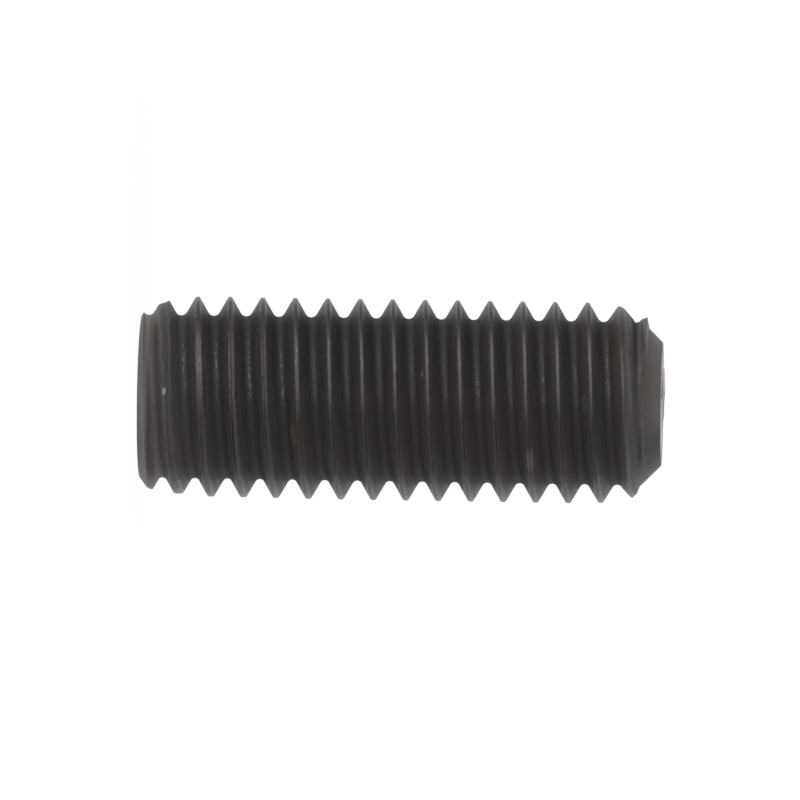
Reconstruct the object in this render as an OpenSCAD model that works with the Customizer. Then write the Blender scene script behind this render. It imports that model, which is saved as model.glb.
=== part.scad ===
// Headless set screw with a hexagon socket and a cup point.
// It stands on its socket end. The axis is Z, and the point is at the top.

/* [Thread] */
// Diameter over the crests
thread_d = 7.73; // [7.2:0.01:9]
// Distance from one crest to the next
thread_pitch = 1.25; // [1:0.05:1.5]
// Width of the flat on a full crest
crest_flat = 0.12; // [0.08:0.01:0.2]
// Radius in the root between two crests
root_radius = 0.24; // [0.12:0.01:0.26]
// Angle between two facing flanks
flank_angle = 60; // [55:1:62]
// Height of the lowest crest above the socket face, on the +X side
thread_start = 0.255; // [0:0.005:1]
// Flat facets in one turn of the thread
thread_sides = 40; // [24:4:48]

/* [Body] */
// Length from the socket face to the land of the point
screw_length = 20.05; // [14:0.05:26]

/* [Socket end] */
// Angle of the outer chamfer, measured from the axis
socket_chamfer_angle = 54; // [40:1:60]
// Length over which the crests rise to their full height
lead_in_length = 2.2; // [1:0.1:4]
// How far the first crest lies below a full crest
lead_in_drop = 0.4; // [0.1:0.01:0.5]
// Slope of the first crest's land, down to the socket face
lead_in_slope = 20; // [0:1:25]
// How far the first crests are worn down on one side
worn_depth = 0.12; // [0:0.01:0.2]
// Direction of that side, counted from +X
worn_side = -75; // [-180:5:180]
// Height above the socket face by which that wear has ended
worn_length = 8; // [3:0.5:12]
// Width across the flats of the socket
hex_flats = 4; // [3:0.05:4.2]
// Depth of the socket's flat walls
hex_depth = 5; // [2.5:0.1:7]
// Angle of the conical bottom of the socket
hex_floor_angle = 120; // [90:1:140]
// Diameter of the countersink at the mouth of the socket
hex_mouth_d = 4.8; // [4.65:0.01:5]
// Angle of that countersink
hex_mouth_angle = 120; // [90:1:140]

/* [Point] */
// Diameter of the flat land at the tip
land_d = 4.75; // [4:0.05:5.2]
// Angle of the cone behind the land, measured from the axis
point_angle = 45; // [35:1:50]
// How far the last ridge of the thread stands above that cone
ridge_height = 0.36; // [0.1:0.01:0.4]
// Distance from the land back to where the last ridge ends
ridge_end = 0.62; // [0.4:0.01:0.8]
// Length over which the crests fall before the point, slowly at first
run_out_length = 3.65; // [1.5:0.05:4.5]
// How far the crests fall by the end of that length
run_out_drop = 0.67; // [0.1:0.01:0.7]
// How far the outer flank of the last crest lies inward
free_flank = 0.09; // [0:0.01:0.12]
// Diameter of the cup at its mouth
cup_d = 2.64; // [2:0.02:3.4]
// Angle of the cup
cup_angle = 120; // [90:1:130]
// Height of the lip that the cup's punch raised
lip_height = 0.05; // [0.04:0.01:0.2]
// Width of that lip at its foot
lip_width = 0.15; // [0.1:0.01:0.25]

/* [Hidden] */

// Facets of the round cuts
round_sides = 96;
// Room by which a cutter passes the surface that it cuts
overcut = 1;
// Facets of the arc in the root
root_steps = 3;
// Height of the rolled metal over the turned cone, where the roots run out
root_swell = 0.03;
// Heights above the socket face between which the slope of the first land fades
slope_fade = [1, 1.5];
// Turns, counted from the last full turn, over which its outer flank sinks to the cone
flank_sink = [-0.4, -0.05];
// Turns, counted the same way, over which the last ridge fades out
ridge_fade = [0.55, 0.72];

crest_r = thread_d / 2;
half_angle = flank_angle / 2;
// Half of the root arc's width, where it meets the flanks
root_half_width = root_radius * cos(half_angle);
// Depth of the thread from a full crest to the bottom of the root
thread_depth = (thread_pitch / 2 - crest_flat / 2 - root_half_width) / tan(half_angle)
    + root_radius * (1 - sin(half_angle));
root_r = crest_r - thread_depth;
// Radius at which the root arc meets the flanks
tangent_r = root_r + root_radius * (1 - sin(half_angle));
land_r = land_d / 2;
cup_r = cup_d / 2;
hex_corner_r = hex_flats / 2 / cos(30);
// Greatest depth by which a crest may fall: a trace of the flanks stays
greatest_drop = crest_r - tangent_r - 0.02;
last_turn = floor((screw_length - thread_start) / thread_pitch);

// Radius of the turned cone of the point at height z
function cone_r(z) = land_r + (screw_length - z) * tan(point_angle);

// 0 at the first limit and below it, 1 at the second and above it, straight between
function rise(limits, x) = max(0, min(1, (x - limits[0]) / (limits[1] - limits[0])));

// How far the crest at height z and direction a falls short near the socket end, or is worn
function low_drop(z, a) =
    let (short = lead_in_drop * max(0, 1 - z / lead_in_length))
    let (worn = worn_depth * max(0, cos(a - worn_side)) * rise([worn_length, lead_in_length], z))
    max(short, worn);

// How far the crest at height z has fallen before the point
function high_drop(z) =
    run_out_drop * pow(max(0, 1 - (screw_length - z) / run_out_length), 3);

// Edge of a crest's land below or above its centre (side -1 or 1), as [radius, height over the centre]
function land_edge(side, z, a, shift) =
    let (tilt = tan(lead_in_slope) * rise([slope_fade[1], slope_fade[0]], z))
    let (half_flat = crest_flat / 2)
    let (low = (low_drop(z, a) - side * tilt * half_flat) / (1 + side * tilt * tan(half_angle)))
    let (drop = min(low, greatest_drop))
    let (reach = half_flat + drop * tan(half_angle))
    [
        max(tangent_r, crest_r - drop - high_drop(z)),
        side < 0 ? -reach : max(reach - shift, -half_flat / 2)
    ];

// Radius at height z of what is rolled to radius r: near the point the cone limits it
function rolled_r(r, z, ridge) =
    min(r, max(cone_r(z) + root_swell + (r - root_r) * ridge, root_swell));

// One pitch of the thread at height z and direction a, as [radius, height over the crest's centre]
function thread_section(z, a, shift) = concat(
    [land_edge(-1, z, a, 0), land_edge(1, z, a, shift)],
    [for (k = [0 : root_steps])
        let (b = (2 * k / root_steps - 1) * (90 - half_angle))
        [root_r + root_radius * (1 - cos(b)), thread_pitch / 2 + root_radius * sin(b)]]
);

section_points = len(thread_section(0, 0, 0));
turns_below = 2;
turn_count = ceil((screw_length + lip_height) / thread_pitch) + turns_below + 1;
step_count = turn_count * thread_sides;

// Height of the crest's centre at step i along the thread
function crest_z(i) = thread_start + thread_pitch * (i / thread_sides - turns_below);

// The section at step i, turned to its place on the screw
function section_at(i) =
    let (a = 360 * i / thread_sides, z0 = crest_z(i))
    let (past = i / thread_sides - turns_below - last_turn)
    let (sunk = rise(flank_sink, past), faded = rise(ridge_fade, past))
    [for (p = thread_section(z0, a, free_flank * sunk))
        let (ridge = 1 - max(faded, p[1] > root_radius ? sunk : 0))
        let (r = rolled_r(p[0], z0 + p[1], ridge))
        [r * cos(a), r * sin(a), z0 + p[1]]];

// A point's number in the mesh: the section's end is the start of the next turn's section
function point_id(i, j) = j < section_points
    ? i * section_points + j
    : (i + thread_sides) * section_points + j - section_points;

// The thread and its core as one solid that runs past both ends of the screw
module threaded_bar() {
    skin_points = [for (i = [0 : step_count]) each section_at(i)];
    low_centre = len(skin_points);
    high_centre = low_centre + 1;
    last_start = step_count - thread_sides;
    skin = [for (i = [0 : last_start - 1], j = [0 : section_points - 1])
        let (a = point_id(i, j), b = point_id(i, j + 1))
        let (c = point_id(i + 1, j + 1), d = point_id(i + 1, j))
        each [[a, b, c], [a, c, d]]];
    low_cap = [for (i = [0 : thread_sides - 1])
        [low_centre, point_id(i, 0), point_id(i + 1, 0)]];
    low_step = concat([low_centre],
        [for (j = [section_points : -1 : 0]) point_id(0, j)]);
    high_cap = [for (i = [last_start : step_count - 1])
        [high_centre, point_id(i + 1, 0), point_id(i, 0)]];
    high_step = concat([high_centre],
        [for (j = [0 : section_points]) point_id(last_start, j)]);
    polyhedron(
        points = concat(skin_points,
            [[0, 0, crest_z(thread_sides / 2)], [0, 0, crest_z(last_start + thread_sides / 2)]]),
        faces = concat(skin, low_cap, [low_step], high_cap, [high_step])
    );
}

// Outline of the screw with the cup and its lip, turned round the axis
module turned_outline() {
    wide_r = crest_r + overcut;
    chamfer_top = (wide_r - root_r) / tan(socket_chamfer_angle);
    ridge_z = screw_length - ridge_end;
    shoulder_z = screw_length - (wide_r - land_r - ridge_height) / tan(point_angle);
    lip_top = screw_length + lip_height;
    rotate_extrude($fn = round_sides)
        polygon([
            [0, 0],
            [root_r, 0],
            [wide_r, chamfer_top],
            [wide_r, shoulder_z],
            [cone_r(ridge_z) + ridge_height, ridge_z],
            [cone_r(ridge_z + ridge_height / 4), ridge_z + ridge_height / 4],
            [land_r, screw_length],
            [cup_r + lip_width, screw_length],
            [cup_r + lip_width * 0.5, lip_top],
            [cup_r + lip_width * 0.2, lip_top],
            [cup_r, lip_top - lip_width * 0.2],
            [0, lip_top - lip_width * 0.2 - cup_r / tan(cup_angle / 2)]
        ]);
}

// Cutter for the hexagon socket, its conical bottom and the countersink at its mouth
module hex_socket() {
    floor_depth = hex_flats / 2 / tan(hex_floor_angle / 2);
    mouth_r = hex_mouth_d / 2;
    mouth_slope = tan(hex_mouth_angle / 2);
    translate([0, 0, -overcut])
        cylinder(r = hex_corner_r, h = hex_depth + overcut, $fn = 6);
    translate([0, 0, hex_depth])
        cylinder(r1 = hex_flats / 2, r2 = 0, h = floor_depth, $fn = round_sides);
    translate([0, 0, -overcut])
        cylinder(r1 = mouth_r + overcut * mouth_slope, r2 = 0,
            h = overcut + mouth_r / mouth_slope, $fn = round_sides);
}

// The whole screw: a threaded bar brought to its outline, with the socket in its lower end
module set_screw() {
    color("#3a3735")
        intersection() {
            threaded_bar();
            difference() {
                turned_outline();
                hex_socket();
            }
        }
}

set_screw();
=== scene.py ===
"""A headless set screw in black oxide steel, with a rolled thread, a hexagon socket and a cup point."""

import math
import bmesh
import bpy
from bpy.props import FloatProperty, FloatVectorProperty, IntProperty, PointerProperty
from mathutils import Matrix, Vector, noise


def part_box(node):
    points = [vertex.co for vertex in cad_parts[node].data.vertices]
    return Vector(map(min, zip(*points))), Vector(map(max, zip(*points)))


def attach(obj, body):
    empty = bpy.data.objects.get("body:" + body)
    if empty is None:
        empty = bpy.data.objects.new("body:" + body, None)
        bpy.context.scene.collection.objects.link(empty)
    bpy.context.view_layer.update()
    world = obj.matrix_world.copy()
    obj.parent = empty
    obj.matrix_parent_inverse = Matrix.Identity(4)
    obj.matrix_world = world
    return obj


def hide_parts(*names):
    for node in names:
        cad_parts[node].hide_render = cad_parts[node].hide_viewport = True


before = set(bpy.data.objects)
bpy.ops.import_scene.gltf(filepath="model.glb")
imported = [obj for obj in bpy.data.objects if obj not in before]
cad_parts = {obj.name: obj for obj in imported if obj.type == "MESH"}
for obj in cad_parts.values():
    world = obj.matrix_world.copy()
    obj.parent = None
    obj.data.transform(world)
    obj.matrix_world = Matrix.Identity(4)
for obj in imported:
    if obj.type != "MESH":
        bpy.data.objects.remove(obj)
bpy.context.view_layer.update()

bl_info = {
    "name": "Set Screw",
    "version": (1, 0, 0),
    "blender": (4, 5, 0),
    "location": "View3D > Sidebar > Set Screw",
    "description": "Models a headless set screw with a rolled thread, its black finish and a plain studio",
    "category": "Add Mesh",
}

MM = 0.001
NODE = "set_screw"
FULL_TURN = 2 * math.pi
SCREW_LOW, SCREW_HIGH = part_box(NODE)


def length(name, description, default):
    """A length property whose default is given in millimetres."""
    return FloatProperty(
        name=name, description=description, default=default * MM, unit="LENGTH", precision=6
    )


def angle(name, description, default):
    """An angle property whose default is given in degrees."""
    return FloatProperty(
        name=name, description=description, default=math.radians(default), subtype="ANGLE"
    )


def colour(name, description, default):
    """A colour property, in linear light."""
    return FloatVectorProperty(
        name=name, description=description, default=default, subtype="COLOR", min=0.0, max=1.0
    )


def share(name, description, default):
    """A factor, 1 at its full strength."""
    return FloatProperty(
        name=name, description=description, default=default, subtype="FACTOR", min=0.0, soft_max=1.0
    )


class ScrewSizes(bpy.types.PropertyGroup):
    """Sizes of the screw."""

    thread_diameter: length(
        "Thread diameter", "Diameter over full crests", (SCREW_HIGH[0] - SCREW_LOW[0]) / MM
    )
    pitch: length("Pitch", "Distance from one crest to the next", 1.25)
    crest_flat: length("Crest flat", "Width of the flat on a full crest", 0.12)
    crest_edge: length("Crest edge", "Radius on the two edges of a crest", 0.035)
    root_radius: length("Root radius", "Radius in the root between two crests", 0.24)
    flank_angle: angle("Flank angle", "Angle between two facing flanks", 60)
    crest_height: length("First crest", "Height of the first crest, on the +X side", 0.255)
    seam_depth: length("Seam depth", "Depth of the seam that rolling leaves in a crest", 0.03)

    lip_height: length("Lip height", "Height of the lip round the cup", 0.05)
    lip_width: length("Lip width", "Width of that lip at its foot", 0.15)
    cup_diameter: length("Cup diameter", "Diameter of the cup at its mouth", 2.64)
    cup_angle: angle("Cup angle", "Angle of the cup", 120)
    land_diameter: length("Land diameter", "Diameter of the flat land at the tip", 4.75)
    ridge_height: length("Ridge height", "Height of the last ridge over the cone", 0.36)
    ridge_end: length("Ridge end", "Distance from the land to where the last ridge ends", 0.62)
    run_out: length("Run-out", "Length over which the crests fall at the point", 3.65)
    run_out_drop: length("Run-out drop", "How far the crests fall over that length", 0.67)
    free_flank: length("Free flank", "How far the last crest's outer flank lies inward", 0.09)

    chamfer_angle: angle("Chamfer angle", "Socket end's chamfer, from the axis", 54)
    lead_in: length("Lead-in", "Length over which the crests rise at the socket end", 2.2)
    lead_in_drop: length("Lead-in drop", "How far the first crest lies below a full one", 0.4)
    lead_in_slope: angle("Lead-in slope", "Slope of the first crest's land", 20)
    worn_side: angle("Worn side", "Direction in which the first crests are worn, from +X", -75)
    worn_depth: length("Worn depth", "How far the crests are worn down on that side", 0.12)
    worn_length: length("Worn length", "Height by which that wear has ended", 8.0)
    hex_flats: length("Socket size", "Width across the flats of the socket", 4.0)
    hex_depth: length("Socket depth", "Depth of the socket's flat walls", 5.0)
    hex_mouth: length("Socket mouth", "Diameter of the countersink at the socket", 4.8)
    drill_angle: angle("Drill angle", "Angle of the countersink and the socket's bottom", 120)

    turn_steps: IntProperty(name="Steps", description="Mesh steps in a turn", default=144)


class ScrewFinish(bpy.types.PropertyGroup):
    """Colours of the screw."""

    oxide: colour("Black oxide", "Colour of the finish where it is darkest", (0.0305, 0.0275, 0.0263))
    oxide_pale: colour("Pale oxide", "Colour of the finish where it is thin", (0.045, 0.041, 0.039))
    oxide_warm: colour("Warm oxide", "Colour of the finish's brownish clouds", (0.041, 0.0345, 0.0315))
    # This colour paints the shade in the roots and in the other painted shade zones
    root: colour("Roots", "Colour of the finish in the roots", (0.023, 0.0208, 0.02))
    # Rubbed steel on the crests; the same colour paints the highlights, glints, sheen and reflections
    rubbed_and_highlight: colour("Rubbed steel", "Colour of the finish rubbed on the crests", (0.163, 0.151, 0.144))
    bare: colour("Bare steel", "Colour of bare steel at the lip and in a nick", (0.55, 0.54, 0.53))
    rust: colour("Rust", "Colour of the rusty smear", (0.085, 0.045, 0.030))


class StudioSettings(bpy.types.PropertyGroup):
    """Floor, lamps and camera."""

    floor: colour("Floor", "Colour of the floor", (0.95, 0.95, 0.95))
    ambient: share("Ambient", "Light from all round", 0.81)
    underlight: share("Underlight", "Bias of that light to the lower side", 0.75)
    room: share("Room", "Brightness of the room before the screw", 0.04)
    key: FloatProperty(
        name="Key", description="Power of the main softbox", default=1.45, unit="POWER"
    )
    distance: FloatProperty(
        name="Camera distance", description="From the screw", default=0.8, unit="LENGTH"
    )
    frame_width: length("Frame width", "Width that the picture takes in, at the screw", 30.763)
    aim: length("Aim", "Height on the screw's axis of the middle of the picture", 9.971)
    elevation: angle("Elevation", "Camera's height towards the point", 2.2)
    roll: angle("Roll", "How far the screw dips to the right in the picture", 0.92)


# Points this far below the roots stay in place, and no other comes nearer to the axis than LEAST_R
CORE_DEPTH = 0.5
LEAST_R = 0.5

# How far below the corner of a crest a point still belongs to its land, in millimetres
TOUCH = 1e-4

# Heights between which the slope of the first land fades, in millimetres
SLOPE_FADE = (1.5, 1.0)

# Turns, counted from the last full turn, over which its upper flank leans in, that flank is taken down
# to the cone and the last ridge fades out
FLANK_SINK = (-0.45, -0.05)
FLANK_FADE = (-0.4, -0.05)
RIDGE_FADE = (0.55, 0.72)

# Distances from a crest's middle between which that flank is taken down, in millimetres
FLANK_FOOT = (0.05, 0.32)

# The last ridge: its foot, as a share of its height, and what the rolled metal has over the turned
# outline, so that only the outline cuts there, in millimetres
RIDGE_FOOT = 0.25
RIDGE_EXCESS = 0.03
CAP_CLEARANCE = 0.05
CAP_RISE = 0.1
RUN_OUT_POWER = 3

# The spread land of the last full crest: middle and reach in turns, width and drop in millimetres
SPREAD_TURN = -0.5
SPREAD_REACH = (0.25, 0.05)
SPREAD_WIDTH = 0.1
SPREAD_DROP = 0.09

# The seam in a crest: spots in a turn, where its noise is read, how much more of it there is, softness
# of its ends, heights between which it fades, and sharpness across the crest
SEAM_SPOTS = 2.3
SEAM_PLACE = 3.7
SEAM_SHARE = 0.12
SEAM_EDGE = 0.25
SEAM_HEIGHTS = (7.5, 4.5)
SEAM_SHARPNESS = 1.6


class ThreadForm:
    """The thread's measures in millimetres, worked out from the sizes."""

    def __init__(self, sizes):
        self.pitch = sizes.pitch / MM
        self.crest_r = sizes.thread_diameter / MM / 2
        self.half_flat = sizes.crest_flat / MM / 2
        self.edge = sizes.crest_edge / MM
        self.root_radius = sizes.root_radius / MM
        self.half_angle = sizes.flank_angle / 2
        self.slope = math.tan(self.half_angle)
        self.first_crest = sizes.crest_height / MM
        self.length = (SCREW_HIGH[2] - SCREW_LOW[2]) / MM - sizes.lip_height / MM
        self.land_r = sizes.land_diameter / MM / 2
        self.root_edge = self.pitch / 2 - self.root_radius * math.cos(self.half_angle)
        self.tangent_r = self.crest_r - (self.root_edge - self.half_flat) / self.slope
        self.root_r = self.tangent_r - self.root_radius * (1 - math.sin(self.half_angle))
        self.corner_r = self.crest_r - self.edge * (1 - math.sin(self.half_angle))
        self.seam_depth = sizes.seam_depth / MM
        self.lead_in = sizes.lead_in / MM
        self.lead_in_drop = sizes.lead_in_drop / MM
        self.lead_in_tilt = math.tan(sizes.lead_in_slope)
        self.run_out = sizes.run_out / MM
        self.run_out_drop = sizes.run_out_drop / MM
        self.free_flank = sizes.free_flank / MM
        self.ridge = sizes.ridge_height / MM
        self.ridge_z = self.length - sizes.ridge_end / MM
        self.ridge_foot = self.ridge_z + self.ridge * RIDGE_FOOT
        self.worn_turn = sizes.worn_side / FULL_TURN
        self.worn_depth = sizes.worn_depth / MM
        self.worn_length = sizes.worn_length / MM
        self.last_turn = math.floor((self.length - self.first_crest) / self.pitch)

    def section(self):
        """Half plane outline of one pitch of a full thread, from root to root, as (radius, height)."""
        root_steps, flank_steps, edge_steps, land_steps = 5, 6, 3, 2
        bend = math.pi / 2 - self.half_angle
        lower = []
        for k in range(root_steps + 1):
            a = bend * k / root_steps
            r = self.root_r + self.root_radius * (1 - math.cos(a))
            lower.append((r, -self.pitch / 2 + self.root_radius * math.sin(a)))
        reach = self.edge * math.tan(bend / 2)
        corner = []
        for k in range(edge_steps + 1):
            a = bend * (1 - k / edge_steps)
            r = self.crest_r - self.edge * (1 - math.cos(a))
            corner.append((r, -self.half_flat + reach - self.edge * math.sin(a)))
        foot, head = lower[-1], corner[0]
        for k in range(1, flank_steps):
            part = k / flank_steps
            lower.append(tuple(a + (b - a) * part for a, b in zip(foot, head)))
        lower.extend(corner)
        for k in range(1, land_steps):
            lower.append((self.crest_r, corner[-1][1] * (1 - k / land_steps)))
        upper = [(r, -s) for r, s in reversed(lower)]
        return lower + [(self.crest_r, 0.0)] + upper

    def nearest_crest(self, turn, z):
        """The nearest crest, in turns along the helix, and the distance from it along the axis."""
        pitches = (z - self.first_crest) / self.pitch - turn
        crest = math.floor(pitches + 0.5)
        return crest + turn, (pitches - crest) * self.pitch

    def height_of(self, along):
        """Height of the crest's middle after that many turns."""
        return self.first_crest + along * self.pitch

    def unfilled(self, along):
        """How far a crest stays short, and wide, because the blank didn't fill the dies or it wore."""
        z = self.height_of(along)
        low = self.lead_in_drop * max(0.0, 1 - z / self.lead_in)
        side = max(0.0, math.cos(FULL_TURN * (along - self.worn_turn)))
        worn = self.worn_depth * side * smooth_step(self.worn_length, self.lead_in, z)
        return max(low, worn)

    def run_out_at(self, along):
        """How far a crest near the point has dropped, with its land no wider."""
        left = (self.length - self.height_of(along)) / self.run_out
        return self.run_out_drop * max(0.0, 1 - left) ** RUN_OUT_POWER

    def crest_limit(self, along):
        """Radius that the crest reaches there."""
        return max(self.tangent_r, self.crest_r - self.unfilled(along) - self.run_out_at(along))

    def seam(self, along):
        """Depth of the seam along the middle of a crest: it comes and goes near the socket end."""
        presence = noise.noise(Vector((along * SEAM_SPOTS, 0.0, SEAM_PLACE))) + SEAM_SHARE
        fade = smooth_step(*SEAM_HEIGHTS, self.height_of(along))
        return self.seam_depth * smooth_step(0.0, SEAM_EDGE, presence) * fade

    def cone_r(self, z):
        """Radius of the point's turned cone at that height."""
        return self.land_r + self.length - z

    def cone_cap(self, past, s, z):
        """Radius that the cone leaves: a ridge of thread stands on it up to a certain turn."""
        sunk = smooth_step(*FLANK_FADE, past) * smooth_step(*FLANK_FOOT, s)
        ended = smooth_step(*RIDGE_FADE, past)
        clear = CAP_CLEARANCE * smooth_step(self.ridge_foot, self.ridge_foot + CAP_RISE, z)
        ridge = (self.ridge + RIDGE_EXCESS) * (1 - max(sunk, ended))
        return self.cone_r(z) + ridge + clear

    def land_drops(self, along, centre, side):
        """How far a land's middle and its edge on one side fall short of a full crest."""
        middle = self.unfilled(along)
        tilt = self.lead_in_tilt * smooth_step(*SLOPE_FADE, centre)
        edge = (middle - side * tilt * self.half_flat) / (1 + side * tilt * self.slope)
        return middle, edge

    def shape(self, point):
        """Moves a point of the full thread to its place on the real one."""
        turn = math.atan2(point.y, point.x) / FULL_TURN
        r = math.hypot(point.x, point.y)
        if r < self.root_r - CORE_DEPTH:
            return point
        along, s = self.nearest_crest(turn, point.z)
        centre = point.z - s
        side = math.copysign(1.0, s)
        middle_drop, drop = self.land_drops(along, centre, side)
        short = self.run_out_at(along)
        height = min(1.0, max(0.0, (r - self.tangent_r) / (self.corner_r - self.tangent_r)))
        if r >= self.corner_r - TOUCH:
            part = min(1.0, abs(s) / self.half_flat)
            new_r = r - middle_drop * (1 - part) - drop * part - short
            new_r -= self.seam(along) * max(0.0, 1 - part * SEAM_SHARPNESS)
            new_s = s + side * drop * self.slope * part
        else:
            new_r = r - (drop + short) * height
            new_s = s + side * drop * height * self.slope

        past = along - self.last_turn
        lean = min(1.0, max(0.0, (s / self.half_flat + 1) / 2))
        upper_flank = lean * smooth_step(self.pitch / 2, self.root_edge, s)
        spread = smooth_step(*SPREAD_REACH, abs(past - SPREAD_TURN))
        new_s -= self.free_flank * upper_flank * smooth_step(*FLANK_SINK, past)
        new_s += SPREAD_WIDTH * upper_flank * spread
        new_r -= SPREAD_DROP * lean * spread * height
        z = centre + new_s
        new_r = min(new_r, max(self.cone_cap(past, s, z), LEAST_R))
        scale = new_r / r
        return Vector((point.x * scale, point.y * scale, z))


# Outer and inner edge of the top of the lip, as shares of its width
LIP_OUTER = 0.5
LIP_INNER = 0.2

# The lip swells on one side and is bruised on the other: shares of its height, and the places on X
# where each begins and is full, in millimetres
LIP_SWELL = 0.5
LIP_SWELL_X = (0.0, -0.4)
LIP_BRUISE = 0.8
LIP_BRUISE_X = (0.4, 0.75)

# The lip's one burr: its place on X and Y, and the distances at which it begins and is full
LIP_BURR = (1.1, -0.93)
LIP_BURR_REACH = (0.32, 0.1)

# Room by which cutters pass the surface that they cut, in millimetres
OVERCUT = 1.0
CONE_OVERLAP = 0.01

# Distances at which points are merged, before the cuts and after them, in millimetres
MERGE = 1e-3
MERGE_CUT = 2e-4
SHORTEST_EDGE = 1e-4

# Turns of thread below the socket face, steps of the drill's cones, and least angle of a sharp edge
TURNS_BELOW = 2
DRILL_STEPS = 96
SHARP_EDGE = math.radians(32)

# Where the soft edge of a spot begins and ends, as shares of its half size
SPOT_EDGE = (1.0, 0.5)


def smooth_step(low, high, value):
    """0 at low, 1 at high and smooth between."""
    t = min(1.0, max(0.0, (value - low) / (high - low)))
    return t * t * (3 - 2 * t)


def merge_and_face_out(bm):
    """Closes seams and poles, and turns every face outwards."""
    bmesh.ops.remove_doubles(bm, verts=bm.verts, dist=MERGE)
    bmesh.ops.recalc_face_normals(bm, faces=bm.faces)


def turn_outline(bm, outline, steps, rise):
    """Turns an outline of (radius, height) once round the axis, and closes it if it doesn't rise."""
    verts = [bm.verts.new((r, 0.0, z)) for r, z in outline]
    edges = [bm.edges.new(pair) for pair in zip(verts, verts[1:])]
    bmesh.ops.spin(
        bm,
        geom=verts + edges,
        cent=(0, 0, 0),
        axis=(0, 0, 1),
        dvec=(0, 0, rise / steps),
        angle=FULL_TURN,
        steps=steps,
        use_merge=rise == 0,
        use_duplicate=False,
    )


def object_from(bm, name):
    """A new object of the scene with that mesh."""
    mesh = bpy.data.meshes.new(name)
    bm.to_mesh(mesh)
    bm.free()
    obj = bpy.data.objects.new(name, mesh)
    bpy.context.scene.collection.objects.link(obj)
    return obj


def threaded_bar(form, steps):
    """The rolled thread on its bar, running past both ends of the screw, in millimetres."""
    bm = bmesh.new()
    turn_outline(bm, form.section(), steps, form.pitch)
    one_turn = bm.verts[:] + bm.edges[:] + bm.faces[:]
    first = -TURNS_BELOW
    last = math.ceil(form.length / form.pitch) + 1
    for turn in range(first + 1, last):
        copy = bmesh.ops.duplicate(bm, geom=one_turn)["geom"]
        verts = [g for g in copy if isinstance(g, bmesh.types.BMVert)]
        bmesh.ops.translate(bm, verts=verts, vec=(0, 0, (turn - first) * form.pitch))
    bmesh.ops.translate(bm, verts=bm.verts, vec=(0, 0, form.first_crest + first * form.pitch))
    bmesh.ops.remove_doubles(bm, verts=bm.verts, dist=MERGE)
    middle = form.length / 2
    for below in (True, False):
        rim = [e for e in bm.edges if e.is_boundary and (e.verts[0].co.z < middle) == below]
        heights = [v.co.z for e in rim for v in e.verts]
        centre = (min(heights) + max(heights)) / 2
        grown = bmesh.ops.extrude_edge_only(bm, edges=rim)["geom"]
        tips = [g for g in grown if isinstance(g, bmesh.types.BMVert)]
        bmesh.ops.pointmerge(bm, verts=tips, merge_co=(0, 0, centre))
    for vert in bm.verts:
        vert.co = form.shape(vert.co)
    bmesh.ops.recalc_face_normals(bm, faces=bm.faces)
    return object_from(bm, "threaded_bar")


def turned_outline(form, sizes, steps):
    """The screw's outline without its thread, turned round the axis, with the cup and its lip."""
    wide = form.crest_r + OVERCUT
    lip_top = form.length + sizes.lip_height / MM
    lip_w = sizes.lip_width / MM
    cup_r = sizes.cup_diameter / MM / 2
    cup_mouth = lip_top - lip_w * LIP_INNER
    outline = [
        (0, 0),
        (form.root_r, 0),
        (wide, (wide - form.root_r) / math.tan(sizes.chamfer_angle)),
        (wide, form.length - (wide - form.land_r - form.ridge)),
        (form.cone_r(form.ridge_z) + form.ridge, form.ridge_z),
        (form.cone_r(form.ridge_foot), form.ridge_foot),
        (form.land_r, form.length),
        (cup_r + lip_w, form.length),
        (cup_r + lip_w * LIP_OUTER, lip_top),
        (cup_r + lip_w * LIP_INNER, lip_top),
        (cup_r, cup_mouth),
        (0, cup_mouth - cup_r / math.tan(sizes.cup_angle / 2)),
    ]
    bm = bmesh.new()
    turn_outline(bm, outline, steps, 0.0)
    for vert in bm.verts:
        if vert.co.z > form.length + MERGE:
            change = LIP_SWELL * smooth_step(*LIP_SWELL_X, vert.co.x)
            change -= LIP_BRUISE * smooth_step(*LIP_BRUISE_X, vert.co.x)
            from_burr = math.hypot(vert.co.x - LIP_BURR[0], vert.co.y - LIP_BURR[1])
            change += smooth_step(*LIP_BURR_REACH, from_burr)
            vert.co.z += change * sizes.lip_height / MM
    merge_and_face_out(bm)
    return object_from(bm, "turned_outline")


def hex_prism(sizes):
    """Cutter for the socket's six walls."""
    corner_r = sizes.hex_flats / MM / math.sqrt(3)
    depth = sizes.hex_depth / MM + OVERCUT
    bm = bmesh.new()
    bmesh.ops.create_cone(
        bm, cap_ends=True, segments=6, radius1=corner_r, radius2=corner_r, depth=depth
    )
    bmesh.ops.translate(bm, verts=bm.verts, vec=(0, 0, depth / 2 - OVERCUT))
    return object_from(bm, "hex_prism")


def drill_cone(radius, z, sizes):
    """Cutter with the drill's angle: that radius at height z, and its tip above."""
    height = radius / math.tan(sizes.drill_angle / 2)
    below = OVERCUT if z < OVERCUT else CONE_OVERLAP
    low_r = radius * (height + below) / height
    bm = bmesh.new()
    bmesh.ops.create_cone(
        bm, cap_ends=True, segments=DRILL_STEPS, radius1=low_r, radius2=0, depth=height + below
    )
    merge_and_face_out(bm)
    bmesh.ops.translate(bm, verts=bm.verts, vec=(0, 0, z + (height - below) / 2))
    return object_from(bm, "drill_cone")


def cut(piece, cutters):
    """Applies each (operation, cutter) to the piece, and removes the cutters."""
    for operation, cutter in cutters:
        modifier = piece.modifiers.new(cutter.name, "BOOLEAN")
        modifier.operation = operation
        modifier.object = cutter
        modifier.solver = "MANIFOLD"
    depsgraph = bpy.context.evaluated_depsgraph_get()
    mesh = bpy.data.meshes.new_from_object(piece.evaluated_get(depsgraph))
    piece.modifiers.clear()
    piece.data = mesh
    for _, cutter in cutters:
        bpy.data.objects.remove(cutter)


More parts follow.
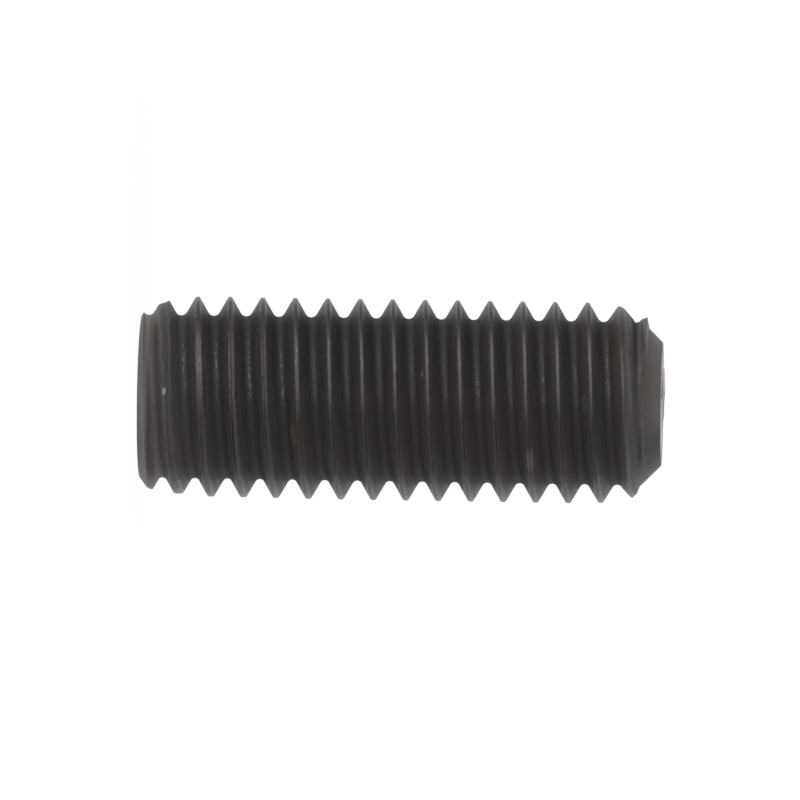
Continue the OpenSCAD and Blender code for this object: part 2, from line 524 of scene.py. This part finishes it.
def finish_mesh(piece):
    """Brings the mesh to metres, and shades it smooth apart from its sharp edges."""
    bm = bmesh.new()
    bm.from_mesh(piece.data)
    bmesh.ops.remove_doubles(bm, verts=bm.verts, dist=MERGE_CUT)
    bmesh.ops.dissolve_degenerate(bm, edges=bm.edges, dist=SHORTEST_EDGE)
    loose = [v for v in bm.verts if not v.link_faces]
    bmesh.ops.delete(bm, geom=loose, context="VERTS")
    bmesh.ops.triangulate(bm, faces=[f for f in bm.faces if len(f.verts) > 4])
    for face in bm.faces:
        face.smooth = True
    for edge in bm.edges:
        edge.smooth = len(edge.link_faces) == 2 and edge.calc_face_angle() < SHARP_EDGE
    bmesh.ops.scale(bm, verts=bm.verts, vec=(MM, MM, MM))
    bm.to_mesh(piece.data)
    bm.free()


class ShaderValue:
    """A socket of a node tree that takes part in sums as a number does."""

    def __init__(self, shader, socket):
        self.shader = shader
        self.socket = socket

    def maths(self, operation, *others):
        return self.shader.add("Math", {"operation": operation}, *others).value

    def __add__(self, other):
        return self.maths("ADD", self, other)

    __radd__ = __add__

    def __sub__(self, other):
        return self.maths("SUBTRACT", self, other)

    def __rsub__(self, other):
        return self.maths("SUBTRACT", other, self)

    def __mul__(self, other):
        return self.maths("MULTIPLY", self, other)

    __rmul__ = __mul__

    def __truediv__(self, other):
        return self.maths("DIVIDE", self, other)

    def __rtruediv__(self, other):
        return self.maths("DIVIDE", other, self)

    def at_most(self, other):
        return self.maths("MINIMUM", self, other)

    def at_least(self, other):
        return self.maths("MAXIMUM", self, other)

    def floor(self):
        return self.maths("FLOOR", self)

    def absolute(self):
        return self.maths("ABSOLUTE", self)

    def angle_from(self, other):
        """The angle of a point whose Y is this value and whose X is the other."""
        return self.maths("ARCTAN2", self, other)

    def between(self, low, high):
        """0 where the value is low or less, 1 where it is high or more, smooth between."""
        node = self.shader.add(
            "MapRange", {"interpolation_type": "SMOOTHSTEP"}, self, low, high, 0.0, 1.0
        )
        return node.value

    def inside(self, start, full, still, end):
        """1 from full to still, 0 before start and after end, smooth between."""
        return self.between(start, full) * self.between(end, still)

    def dimmed(self, part):
        """1 where the value is 1, and less by that part where it is 0."""
        return self * part + (1 - part)


class ShaderNode:
    """A node that was added, with its outputs at hand."""

    def __init__(self, shader, node):
        self.shader = shader
        self.node = node

    def __getitem__(self, name):
        return ShaderValue(self.shader, self.node.outputs[name])

    @property
    def value(self):
        return ShaderValue(self.shader, next(o for o in self.node.outputs if o.enabled))


class Shader:
    """Node tree of a material or the world, empty at first."""

    def __init__(self, owner):
        owner.use_nodes = True
        self.tree = owner.node_tree
        self.tree.nodes.clear()

    def add(self, kind, settings=None, *values, **named):
        """Adds a node of that kind, applies its settings, then fills its sockets in order or by name."""
        node = self.tree.nodes.new("ShaderNode" + kind)
        for key, setting in (settings or {}).items():
            setattr(node, key, setting)
        open_inputs = [i for i in node.inputs if i.enabled]
        for socket, value in zip(open_inputs, values):
            self.feed(socket, value)
        for name, value in named.items():
            self.feed(node.inputs[name.replace("_", " ")], value)
        return ShaderNode(self, node)

    def feed(self, socket, value):
        """Links a value to a socket, or sets the socket to a plain number or colour."""
        if isinstance(value, ShaderNode):
            value = value.value
        if isinstance(value, ShaderValue):
            self.tree.links.new(value.socket, socket)
        elif value is not None:
            if socket.type == "RGBA" and len(value) == 3:
                value = (*value, 1.0)
            socket.default_value = value

    def mix(self, low, high, factor):
        """A colour between two colours."""
        return self.add("Mix", {"data_type": "RGBA"}, factor, low, high).value

    def vector(self, x, y, z):
        return self.add("CombineXYZ", None, x, y, z).value

    def attribute(self, name):
        return self.add("Attribute", {"attribute_name": name})["Fac"]

    def noise(self, place, scale, detail):
        """Noise, mostly between 0.3 and 0.7."""
        settings = {"noise_dimensions": "3D"}
        return self.add("TexNoise", settings, Vector=place, Scale=scale, Detail=detail)["Fac"]

    def spot(self, place, centre, half_size):
        """1 inside an ellipsoid, 0 outside it and soft between."""
        offset = self.add("VectorMath", {"operation": "SUBTRACT"}, place, centre)
        offset = self.add("VectorMath", {"operation": "DIVIDE"}, offset, half_size)
        return self.add("VectorMath", {"operation": "LENGTH"}, offset).value.between(*SPOT_EDGE)


# Zones of the finish: a coordinate, where the zone begins and where it is full, and for some where it
# is still full and where it ends. turn is the direction, in turns from +X. across is the distance from
# a crest's middle in millimetres, apart the same without its sign, and drift the same with a wander.
# height is the distance from the socket face in millimetres, and left that from the point's land. The
# other coordinates are noises
ZONES = {
    # Sides of the screw
    "lit": ("turn", -0.42, -0.33, -0.27, -0.2),
    "glint": ("turn", -0.372, -0.345, -0.305, -0.28),
    "near_upper": ("turn", -0.13, -0.24),
    "far_upper": ("turn", 0.2, 0.45),
    "below_top": ("turn", -0.5, -0.44),
    # Crests, with a painted highlight, painted glints and painted soft light
    "dull_turns": ("turn", -0.09, -0.13),
    "dull_side": ("across", 0.1, 0.04),
    "dull_start": ("left", 1.6, 2.2),
    "halo": ("across", -0.24, -0.08, 0.08, 0.2),
    "shoulder": ("across", -0.17, -0.07, 0.08, 0.19),
    "shoulder_start": ("height", 1.9, 2.3),
    "wide_lands": ("height", 2.95, 2.75),
    "worn_turns": ("turn", -0.315, -0.295, -0.272, -0.258),
    "first_land": ("apart", 0.21, 0.16),
    "first_land_end": ("height", 1.8, 1.4),
    "landing": ("apart", 0.11, 0.14, 0.17, 0.2),
    "landing_end": ("height", 1.7, 1.4),
    "landing_streaks": ("streaks", 0.35, 0.6),
    # Roots, with painted shade, a painted sheen and a painted highlight line
    "root": ("apart", 0.36, 0.5),
    "root_start": ("height", 0.5, 1.3),
    "root_end": ("left", 0.8, 1.0),
    "wash_before": ("drift", 0.54, 0.585),
    "wash_after": ("drift", -0.49, -0.56),
    "wash_start": ("height", 0.9, 1.3),
    "wash_streaks": ("streaks", 0.25, 0.5),
    "line": ("drift", -0.52, -0.56),
    "line_turns": ("turn", -0.225, -0.265),
    "line_end": ("left", 0.9, 1.2),
    "line_beads": ("beads", 0.43, 0.57),
    "line_streaks": ("streaks", 0.3, 0.62),
    "strong_low": ("height", 6.6, 6.1),
    "strong_high": ("height", 12.2, 12.8),
    # Both ends, with painted reflections, a painted highlight band and a lit ring
    "socket_end": ("height", 2.3, 0.3),
    "socket_side": ("height", 3.6, 2.0),
    "socket_rim": ("height", 0.5, 0.28),
    "cone": ("left", 1.2, 0.3),
    "cone_rim": ("left", 0.5, 0.05),
    "band": ("across", 0.1, 0.18, 0.26, 0.34),
    "band_start": ("left", 1.85, 1.55),
    "ring": ("left", 0.61, 0.67, 0.69, 0.75),
    "ring_turns": ("turn", -0.33, -0.29),
    "mark_streaks": ("streaks", 0.3, 0.6),
    # Painted shade
    "upper_shade": ("turn", -0.23, -0.29),
    "upper_shade_heights": ("height", 3.0, 6.0, 12.5, 15.5),
    "cone_shade": ("left", 1.6, 1.0),
    "middle_shade": ("turn", -0.27, -0.23, -0.18, -0.14),
    # Single marks
    "pale_land": ("across", -0.12, -0.05, 0.13, 0.19),
    "nick_beads": ("beads", 0.35, 0.5),
    # Grain of the metal
    "flecks": ("fine_flecks", 0.46, 0.66),
    "stretches": ("long_stretches", 0.36, 0.6),
    "mottle": ("fine_mottle", 0.38, 0.62),
    "warm_clouds": ("cloud", 0.4, 0.65),
    "ragged_end": ("height", 9.0, 2.0),
}

# Noises on the axes: scale and detail
CLOUD = (0.5, 2.0)
GRAIN = (9.0, 4.0)
RIPPLE = (3.2, 1.0)

# Noises that follow the thread: scale along it, scale across it, where the noise is read, detail
THREAD_NOISES = {
    "rolling": (0.7, 11.0, 0.0, 3.0),
    "fine_flecks": (3.4, 12.0, 4.0, 5.0),
    "long_stretches": (0.35, 0.0, 9.0, 2.0),
    "streaks": (0.9, 6.0, 17.0, 3.0),
    "beads": (4.5, 9.0, 31.0, 3.0),
    "wander": (2.2, 0.0, 61.0, 2.0),
    "fine_mottle": (9.0, 14.0, 53.0, 2.0),
}

# How far a root's line wanders across, in millimetres
WANDER = 0.08

# How far noises shift a single mark on each axis, and their middle, in millimetres
UNEVEN_SHIFT = (0.25, 0.2, 0.12)
UNEVEN_MIDDLE = (0.12, 0.1, 0.06)

# Single marks: middle and half size, in millimetres
NICK = ((-0.2, -3.645, 1.05), (0.17, 0.2, 0.11))
RUST_SMEAR = ((1.48, -3.28, 6.01), (0.75, 0.6, 0.14))
RUST_SPECK = ((0.16, -3.8, 5.17), (0.12, 0.2, 0.1))
PALE_CREST = ((2.25, -3.03, 15.08), (0.75, 0.7, 0.3))
PALE_PATCH = ((0.05, -3.5, 17.18), (0.5, 0.5, 0.2))
FINE_SCRATCH = ((-1.0, -3.36, 10.94), (0.22, 0.3, 0.05))

# How far the rubbed crests and their painted highlight fall off: outside long stretches, between
# flecks, out of the lamp's light and in a strip of the wide lands where that highlight is dimmer
STRETCH_FALL = 0.5
FLECK_FALL = 0.75
UNLIT_FALL = 0.88
DIMMER_FALL = 0.3

# How far other masks fall off: dull crests in the seam, the chamfer's painted reflection on the first
# land, the painted rim and cone reflections on the lower side, and the nick between its beads
SEAM_FALL = 0.6
LAND_FALL = 0.95
RIM_FALL = 0.53
CONE_FALL = 0.95
NICK_FALL = 0.7

# Strength of the painted highlight line in the roots: at the middle, and what both ends add to it
LINE_STRENGTH = (0.4, 0.6, 0.35)

# Shares of the rubbed colour in the masks named here: a painted highlight line and painted sheen in
# the roots, painted soft light beside the crests, and pale lines on the first land
LIGHT = {"line": 0.65, "landing": 0.22, "halo": 0.05, "root_sheen": 0.1, "shoulder": 0.12}

# Shares of it on a rubbed crest with its painted highlight: plain, what the painted glints add, and
# what they add on wide lands
CREST_LIGHT = 0.22
SPECKLE = 0.9
SPECKLE_MIDDLE = 0.4
LAND_SPECKLE = 0.6

# Shares of it in the painted reflections at the ends and in the pale marks: chamfer and the crests by
# it, cone and its rim, painted highlight band, lit ring of turning marks, and then crest, patch and
# scratch
SOCKET_LIGHT = (0.22, 0.05)
CONE_LIGHT = (0.24, 0.16)
BAND_LIGHT = 0.25
RING_LIGHT = 0.3
PALE_LIGHT = (0.33, 0.12, 0.7)

# Shares of the roots' colour in the painted shade zones named here
SHADE = {"upper": 0.35, "cone": 0.65, "middle": 0.22, "land": 0.7}

# Shares of grain and rolling in the tone of the oxide, and the range that is spread over it
TONE_SHARES = (0.45, 0.55)
TONE_RANGE = (0.33, 0.68)

# Shares of the other colours, at their strongest
WARM_SHARE = 0.6
RUST_SHARE = 0.55
NICK_BARE = 0.4

# How metallic the worn places are, and what the speckle takes away
SHINE_METAL = 0.9
SPECKLE_METAL = 0.6
LINE_METAL = 0.2
DULL_METAL = 0.65
SPECULAR_LEVEL = 0.35

# Roughness of the plain finish, and what the masks named here add to it
PLAIN_ROUGHNESS = 0.42
ROUGHNESS = {"grain": 0.16, "rust": 0.2, "root": 0.2, "crest": -0.16, "line": -0.2, "lip": -0.1}

# Heights in the relief, in millimetres
GRAIN_HEIGHT = 0.003
FLECK_DEPTH = 0.003
NICK_DEPTH = 0.01
RAGGED_HEIGHT = (0.016, 0.004)


class BlackSteel:
    """Black oxide on rolled steel, with rubbed crests, a bare lip, a few marks of handling, and painted
    light and shade.
    """

    def __init__(self, finish, form):
        self.finish = finish
        self.material = bpy.data.materials.new("black_oxide_steel")
        self.shader = Shader(self.material)
        self.find_place(form)
        self.make_noises()
        self.mask_crests()
        self.mask_roots()
        self.mask_ends()
        self.mask_shade()
        self.mask_marks()
        self.paint()

    def zone(self, name):
        """Mask of a zone of the table."""
        coordinate, *limits = ZONES[name]
        value = getattr(self, coordinate)
        return value.inside(*limits) if len(limits) == 4 else value.between(*limits)

    def zones(self, *names):
        """Mask of the place that several zones share."""
        mask = self.zone(names[0])
        for name in names[1:]:
            mask = mask * self.zone(name)
        return mask

    def find_place(self, form):
        """Coordinates on the axes and on the thread, and the zones stored in the mesh."""
        shader = self.shader
        axes = shader.add("SeparateXYZ", None, shader.add("TexCoord")["Object"])
        x, y, self.height = (axes[name] / MM for name in "XYZ")
        self.left = form.length - self.height
        self.place = shader.vector(x, y, self.height)
        self.turn = y.angle_from(x) / FULL_TURN
        pitches = (self.height - form.first_crest) / form.pitch - self.turn
        crest_number = (pitches + 0.5).floor()
        self.across = (pitches - crest_number) * form.pitch
        self.apart = self.across.absolute()
        self.along = (crest_number + self.turn) * FULL_TURN * form.crest_r
        self.crest = shader.attribute("crest")
        self.seam = shader.attribute("seam")
        self.lip = shader.attribute("lip")

    def make_noises(self):
        """Noises of the metal, even ones and ones that follow the thread."""
        shader = self.shader
        self.cloud = shader.noise(self.place, *CLOUD)
        self.grain = shader.noise(self.place, *GRAIN)
        self.ripple = shader.noise(self.place, *RIPPLE)
        for name, (along, across, offset, detail) in THREAD_NOISES.items():
            place = shader.vector(self.along * along, self.across * across, offset)
            setattr(self, name, shader.noise(place, 1.0, detail))
        self.drift = self.across + (self.wander - 0.5) * WANDER
        noises = (self.grain, self.cloud, self.rolling)
        shifts = zip(noises, UNEVEN_SHIFT, UNEVEN_MIDDLE)
        shift = shader.vector(*(value * size - middle for value, size, middle in shifts))
        self.uneven = shader.add("VectorMath", {"operation": "ADD"}, self.place, shift)

    def mask_crests(self):
        """Crests: rubbed, painted highlight and glints where the lamp shines, dull below, painted soft
        light by them.
        """
        self.lit = self.zone("lit")
        self.glint = self.zone("glint")
        self.near_upper = self.zone("near_upper")
        self.upper = self.near_upper.at_least(self.zone("far_upper"))
        self.flecks = self.zone("flecks")
        self.mottle = self.zone("mottle")
        wide_lands = self.zone("wide_lands")
        stretches = self.zone("stretches").dimmed(STRETCH_FALL)
        shine = self.crest * stretches * self.flecks.dimmed(FLECK_FALL) * (1 - self.seam)
        # Painted highlight: brighter crests in the lamp's strip, with painted glints in its brightest part
        shine = shine * self.lit.dimmed(UNLIT_FALL)
        # A strip of the wide lands where the painted highlight is dimmer
        self.shine = shine * (1 - wide_lands * self.zone("worn_turns") * DIMMER_FALL)
        speckle = self.glint * (wide_lands * LAND_SPECKLE + SPECKLE)
        self.rubbed_and_highlight = self.shine * ((self.mottle - SPECKLE_MIDDLE) * speckle + CREST_LIGHT)
        unlit = 1 - self.lit
        # Painted soft light beside the crests: out of the lamp's strip, and in it away from the socket end
        self.halo = self.zone("halo") * unlit
        self.shoulder = self.zones("shoulder", "shoulder_start") * self.lit
        dull = self.crest * self.zones("dull_side", "dull_turns", "dull_start", "below_top")
        self.dull = dull * unlit * (1 - self.seam * SEAM_FALL)
        self.first_land = self.zones("first_land", "first_land_end")
        self.landing = self.zones("landing", "landing_end", "landing_streaks")

    def mask_roots(self):
        """Roots: painted shade, with a painted sheen and a beaded painted highlight line where the lamp
        shines in.
        """
        self.root = self.zones("root", "root_start", "root_end")
        lit = self.lit * self.zones("line_turns", "line_end")
        # Painted sheen in the roots, on the lamp's side
        root_sheen = self.zone("wash_after").at_least(self.zone("wash_before"))
        self.root_sheen = root_sheen * lit * self.zones("wash_start", "wash_streaks")
        # Painted highlight line in the roots, broken into beads
        middle, low, high = LINE_STRENGTH
        strength = self.zone("strong_low") * low + self.zone("strong_high") * high + middle
        self.line = self.zones("line", "line_beads", "line_streaks") * lit * strength

    def mask_ends(self):
        """Both ends: painted reflections lighten the chamfer, its rim and the cone, the rim and cone less
        below, with a painted highlight band and a lit ring of turning marks near the point.
        """
        end, side = SOCKET_LIGHT
        socket = self.zone("socket_end") * end + self.zone("socket_side") * side
        socket = socket * (1 - self.first_land * LAND_FALL)
        rim = self.zone("socket_rim") * self.upper.dimmed(RIM_FALL)
        cone, cone_rim = CONE_LIGHT
        point = self.zone("cone") * cone + self.zone("cone_rim") * cone_rim
        point = point * self.upper.dimmed(CONE_FALL)
        # Painted highlight band on the lamp's side; the ring is turning marks, shown only on the upper
        # side
        band = self.zones("band", "band_start") * self.lit * BAND_LIGHT
        ring = self.zones("ring", "ring_turns") * RING_LIGHT
        marks = band.at_least(ring) * self.near_upper * self.zone("mark_streaks")
        self.ends = socket.at_least(rim) + point.at_least(marks)

    def mask_shade(self):
        """Painted shade, in the roots' colour or nearly: the roots, an upper strip, the cone's lower side,
        a middle strip and the first land.
        """
        upper = self.zones("upper_shade", "upper_shade_heights", "below_top") * SHADE["upper"]
        cone = self.zone("cone_shade") * (1 - self.upper) * SHADE["cone"]
        middle = self.zone("middle_shade") * SHADE["middle"]
        land = self.first_land * (1 - self.landing) * SHADE["land"]
        self.shade = self.root.at_least(upper).at_least(cone).at_least(middle).at_least(land)

    def mask_marks(self):
        """Single marks of handling."""
        crest, patch, scratch = PALE_LIGHT
        self.nick = self.spot(NICK) * self.zone("nick_beads").dimmed(NICK_FALL)
        pale = self.spot(PALE_CREST) * self.zone("pale_land") * crest
        pale = pale.at_least(self.spot(PALE_PATCH) * patch)
        self.pale = pale.at_least(self.spot(FINE_SCRATCH) * scratch)
        self.rust = self.spot(RUST_SMEAR).at_least(self.spot(RUST_SPECK))
        self.bare = self.lip.at_least(self.nick * NICK_BARE)

    def spot(self, mark):
        """Mask of a single mark, with an uneven edge."""
        return self.shader.spot(self.uneven, *mark)

    def colour(self):
        """Colour of the finish, from the oxide to the marks on it, with the painted shade and painted
        light.
        """
        mix, finish = self.shader.mix, self.finish
        grain, rolling = TONE_SHARES
        tone = (self.grain * grain + self.rolling * rolling).between(*TONE_RANGE)
        light = self.rubbed_and_highlight.at_least(self.ends).at_least(self.pale)
        for name, amount in LIGHT.items():
            light = light.at_least(getattr(self, name) * amount)
        base = mix(finish.oxide[:], finish.oxide_pale[:], tone)
        base = mix(base, finish.oxide_warm[:], self.zone("warm_clouds") * WARM_SHARE)
        base = mix(base, finish.root[:], self.shade)
        base = mix(base, finish.rubbed_and_highlight[:], light)
        base = mix(base, finish.rust[:], self.rust * RUST_SHARE)
        return mix(base, finish.bare[:], self.bare)

    def metal(self):
        """How metallic the surface is: most at the bare lip and the rubbed crests."""
        shine = self.shine * (SHINE_METAL - self.glint * (1 - self.mottle) * SPECKLE_METAL)
        metal = self.bare.at_least(shine)
        return metal.at_least(self.line * LINE_METAL).at_least(self.dull * DULL_METAL)

    def roughness(self):
        """Roughness of the surface."""
        roughness = PLAIN_ROUGHNESS
        for name, amount in ROUGHNESS.items():
            roughness = getattr(self, name) * amount + roughness
        return roughness

    def relief(self):
        """Height of the fine relief, rougher near the socket end."""
        near, plain = RAGGED_HEIGHT
        relief = (self.grain + self.rolling) * GRAIN_HEIGHT
        relief = relief + self.ripple * (self.zone("ragged_end") * near + plain)
        return relief - self.flecks * self.crest * FLECK_DEPTH - self.nick * NICK_DEPTH

    def paint(self):
        """Joins colour, gloss and relief in the surface shader."""
        bump = self.shader.add("Bump", None, Strength=1.0, Distance=MM, Height=self.relief())
        surface = self.shader.add(
            "BsdfPrincipled",
            None,
            Base_Color=self.colour(),
            Metallic=self.metal(),
            Roughness=self.roughness(),
            Specular_IOR_Level=SPECULAR_LEVEL,
            Normal=bump["Normal"],
        )
        self.shader.add("OutputMaterial", None, Surface=surface)


# Limits of the zones stored in the mesh, in millimetres. FILLED is in shares of the first crest's drop
SIDE_START = 0.2
SIDE_END = 0.4
FILLED = (0.48, 0.32)
CREST_FOOT = 0.075
CREST_FULL = 0.03
UPPER_SPREAD = 0.07
SEAM_HALF_WIDTH = 0.01
LIP_ROOM = 0.05
LIP_EDGE = (0.02, -0.01)


def mark_zones(piece, form, sizes):
    """Stores where the crests, their seams and the cup's bare lip are, as attributes of the mesh."""
    mesh = piece.data
    names = ("crest", "seam", "lip")
    for name in names:
        mesh.attributes.new(name, "FLOAT", "POINT")
    crest, seam, lip = (mesh.attributes[name].data for name in names)
    lip_r = sizes.cup_diameter / MM / 2 + sizes.lip_width / MM
    outer, inner = (lip_r + edge for edge in LIP_EDGE)
    filled = [form.lead_in_drop * part for part in FILLED]
    for index, vert in enumerate(mesh.vertices):
        point = vert.co / MM
        r = math.hypot(point.x, point.y)
        along, s = form.nearest_crest(math.atan2(point.y, point.x) / FULL_TURN, point.z)
        if SIDE_START < point.z < form.length - SIDE_END:
            top = form.crest_limit(along) - (UPPER_SPREAD if s > 0 else 0.0)
            high = smooth_step(top - CREST_FOOT, top - CREST_FULL, r)
            crest[index].value = high * smooth_step(*filled, form.unfilled(along))
            if abs(s) < SEAM_HALF_WIDTH:
                seam[index].value = form.seam(along) / form.seam_depth
        if point.z > form.length - LIP_ROOM and r < lip_r + LIP_ROOM:
            lip[index].value = smooth_step(outer, inner, r)


class MESH_OT_set_screw(bpy.types.Operator):
    """Models the screw and gives it its finish"""

    bl_idname = "mesh.set_screw"
    bl_label = "Set Screw"
    bl_options = {"REGISTER", "UNDO"}

    def execute(self, context):
        sizes = context.scene.screw_sizes
        form = ThreadForm(sizes)
        steps = sizes.turn_steps
        piece = threaded_bar(form, steps)
        piece.name = "screw_body"
        cut(
            piece,
            [
                ("INTERSECT", turned_outline(form, sizes, steps)),
                ("DIFFERENCE", hex_prism(sizes)),
                ("DIFFERENCE", drill_cone(sizes.hex_flats / MM / 2, sizes.hex_depth / MM, sizes)),
                ("DIFFERENCE", drill_cone(sizes.hex_mouth / MM / 2, 0.0, sizes)),
            ],
        )
        finish_mesh(piece)
        mark_zones(piece, form, sizes)
        piece.data.materials.clear()
        piece.data.materials.append(BlackSteel(context.scene.screw_finish, form).material)
        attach(piece, "root")
        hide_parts(NODE)
        return {"FINISHED"}


# The floor: its half width in metres, its gap to the screw in millimetres and its share of white
FLOOR_HALF = 4.0
FLOOR_GAP = 0.02
FLOOR_GLOW = 0.96

# The world, by direction: the dark room's edge and tilt, and where more or less light comes from
ROOM_EDGE = (-0.5, -0.1)
ROOM_TILT = 0.15
MIRRORED_SIDE = 0.6
LOW_GAIN = 0.8
BEHIND_EDGE = (-0.1, 0.7)
BEHIND_GAIN = 0.6
FRONT_EDGE = (0.75, 0.97)
FRONT_LOSS = 0.45

# The main softbox: place and size, in metres
KEY_PLACE = (-0.30, -0.33, 0.03)
KEY_SIZE = (0.62, 0.14)

# The camera: sensor width in millimetres, and nearest and farthest distance in metres
SENSOR_WIDTH = 36.0
CLIP = (0.01, 20.0)


def pale_floor(settings):
    """Floor material: white to the camera and in reflections, with the object's shadow kept."""
    material = bpy.data.materials.new("pale_floor")
    shader = Shader(material)
    path = shader.add("LightPath")
    seen = path["Is Camera Ray"].at_least(path["Is Glossy Ray"]).at_least(path["Is Transmission Ray"])
    matt = shader.add("BsdfDiffuse", None, Color=settings.floor[:])
    glow = shader.add("Emission", None, Color=(1.0, 1.0, 1.0), Strength=1.0)
    lit = shader.add("MixShader", None, seen * FLOOR_GLOW, matt, glow)
    clear = shader.add("BsdfTransparent")
    under = shader.add("NewGeometry")["Backfacing"]
    shader.add("OutputMaterial", None, Surface=shader.add("MixShader", None, under, lit, clear))
    return material


def studio_world(settings):
    """World: white to the camera and in reflections, apart from the dark room before the screw."""
    world = bpy.data.worlds.new("studio_world")
    shader = Shader(world)
    path = shader.add("LightPath")
    direct = path["Is Camera Ray"].at_least(path["Is Transmission Ray"])
    direction = shader.add("SeparateXYZ", None, shader.add("TexCoord")["Generated"])
    down, away = direction["X"], direction["Y"]
    low = down.at_least(0)
    side = (down + low * low * LOW_GAIN) * settings.underlight
    room = (0 - away - direction["Z"].absolute() * ROOM_TILT).between(*ROOM_EDGE)
    mirrored = (1 - room * (1 - settings.room)) * (side * MIRRORED_SIDE + 1).at_most(1.0)
    seen = direct.at_least(path["Is Glossy Ray"] * mirrored)
    matt = 1 - direct.at_least(path["Is Glossy Ray"])
    behind = away.between(*BEHIND_EDGE)
    front = (0 - away).between(*FRONT_EDGE)
    shaped = (1 + side) * (1 - front * FRONT_LOSS) * (1 + behind * BEHIND_GAIN)
    strength = seen + matt * settings.ambient * shaped
    surface = shader.add("Background", None, Color=(1.0, 1.0, 1.0), Strength=strength)
    shader.add("OutputWorld", None, Surface=surface)
    bpy.context.scene.world = world


def softbox(name, place, target, size, power):
    """An oblong area lamp that faces a target, unseen by the camera."""
    lamp = bpy.data.lights.new(name, "AREA")
    lamp.shape = "RECTANGLE"
    lamp.size, lamp.size_y = size
    lamp.energy = power
    obj = bpy.data.objects.new(name, lamp)
    obj.location = place
    obj.rotation_mode = "QUATERNION"
    obj.rotation_quaternion = (Vector(target) - Vector(place)).to_track_quat("-Z", "Y")
    obj.visible_camera = False
    bpy.context.scene.collection.objects.link(obj)


def place_camera(settings, target):
    """Camera level with the screw, its right along the axis, with the photograph's framing."""
    data = bpy.data.cameras.new("camera")
    data.sensor_width = SENSOR_WIDTH
    data.lens = data.sensor_width * settings.distance / settings.frame_width
    data.clip_start, data.clip_end = CLIP
    camera = bpy.data.objects.new("camera", data)
    e, roll = settings.elevation, settings.roll
    back = Vector((0.0, -math.cos(e), math.sin(e)))
    level_right = Vector((0.0, math.sin(e), math.cos(e)))
    level_up = Vector((-1.0, 0.0, 0.0))
    right = level_right * math.cos(roll) + level_up * math.sin(roll)
    up = level_up * math.cos(roll) - level_right * math.sin(roll)
    turn = Matrix((right, up, back)).transposed().to_4x4()
    camera.matrix_world = Matrix.Translation(target + back * settings.distance) @ turn
    bpy.context.scene.collection.objects.link(camera)
    bpy.context.scene.camera = camera


class SCENE_OT_set_screw_studio(bpy.types.Operator):
    """Sets up the floor, the lamps, the world and the camera"""

    bl_idname = "scene.set_screw_studio"
    bl_label = "Studio"
    bl_options = {"REGISTER", "UNDO"}

    def execute(self, context):
        settings = context.scene.studio_settings
        bm = bmesh.new()
        bmesh.ops.create_grid(bm, x_segments=1, y_segments=1, size=FLOOR_HALF)
        bmesh.ops.translate(bm, verts=bm.verts, vec=(0, 0, SCREW_LOW[2] - FLOOR_GAP * MM))
        floor = object_from(bm, "floor")
        floor.data.materials.append(pale_floor(settings))
        studio_world(settings)
        middle = Vector((0.0, 0.0, (SCREW_LOW[2] + SCREW_HIGH[2]) / 2))
        softbox("key_softbox", KEY_PLACE, middle, KEY_SIZE, settings.key)
        place_camera(settings, Vector((0.0, 0.0, settings.aim)))
        context.scene.view_settings.view_transform = "Standard"
        return {"FINISHED"}


class VIEW3D_PT_set_screw(bpy.types.Panel):
    """Sidebar panel with the screw's sizes, colours and operators"""

    bl_idname = "VIEW3D_PT_set_screw"
    bl_label = "Set Screw"
    bl_space_type = "VIEW_3D"
    bl_region_type = "UI"
    bl_category = "Set Screw"

    def draw(self, context):
        for group in ("screw_sizes", "screw_finish", "studio_settings"):
            box = self.layout.box()
            settings = getattr(context.scene, group)
            for name in settings.bl_rna.properties.keys():
                if name not in {"rna_type", "name"}:
                    box.prop(settings, name)
        self.layout.operator(MESH_OT_set_screw.bl_idname)
        self.layout.operator(SCENE_OT_set_screw_studio.bl_idname)


GROUPS = {
    "screw_sizes": ScrewSizes,
    "screw_finish": ScrewFinish,
    "studio_settings": StudioSettings,
}
OTHER_CLASSES = (MESH_OT_set_screw, SCENE_OT_set_screw_studio, VIEW3D_PT_set_screw)


def register():
    for name, group in GROUPS.items():
        bpy.utils.register_class(group)
        setattr(bpy.types.Scene, name, PointerProperty(type=group))
    for item in OTHER_CLASSES:
        bpy.utils.register_class(item)


def unregister():
    for item in reversed(OTHER_CLASSES):
        bpy.utils.unregister_class(item)
    for name, group in GROUPS.items():
        delattr(bpy.types.Scene, name)
        bpy.utils.unregister_class(group)


def main():
    register()
    bpy.ops.scene.set_screw_studio()
    bpy.ops.mesh.set_screw()


if __name__ == "__main__":
    main()
